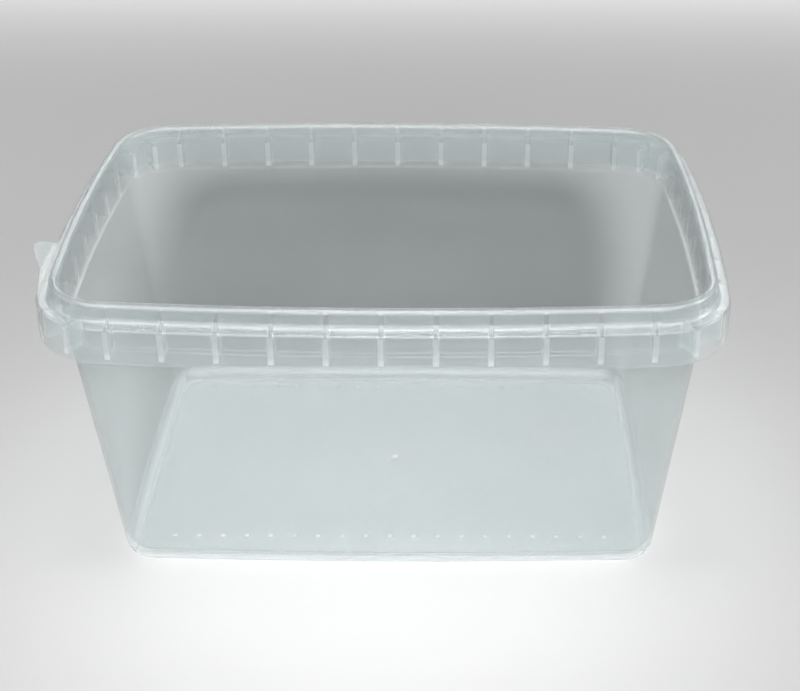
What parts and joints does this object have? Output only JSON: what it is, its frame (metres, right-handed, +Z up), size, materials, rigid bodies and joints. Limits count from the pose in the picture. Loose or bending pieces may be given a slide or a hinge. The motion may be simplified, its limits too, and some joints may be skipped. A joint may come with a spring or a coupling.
{
  "type": "food storage container",
  "caption": "Open rectangular food tub in thin clear-white plastic, tapering down, with a ribbed collar, a folded lip and a pull tab.",
  "frame": {"origin": "on the ground, midway between the ends of the overall length (pull tab included) and midway across the width", "axes": "+X along the long side, +Y towards the back long side, +Z up out of the open mouth; the pull tab is on the -X side, nearer -Y"},
  "size_m": [0.1924, 0.1316, 0.09],
  "materials": {
    "translucent_plastic": "natural polypropylene, milky and see-through, smooth with a soft gloss"
  },
  "bodies": {
    "root": {"tub": "translucent_plastic"}
  },
  "joints": []
}
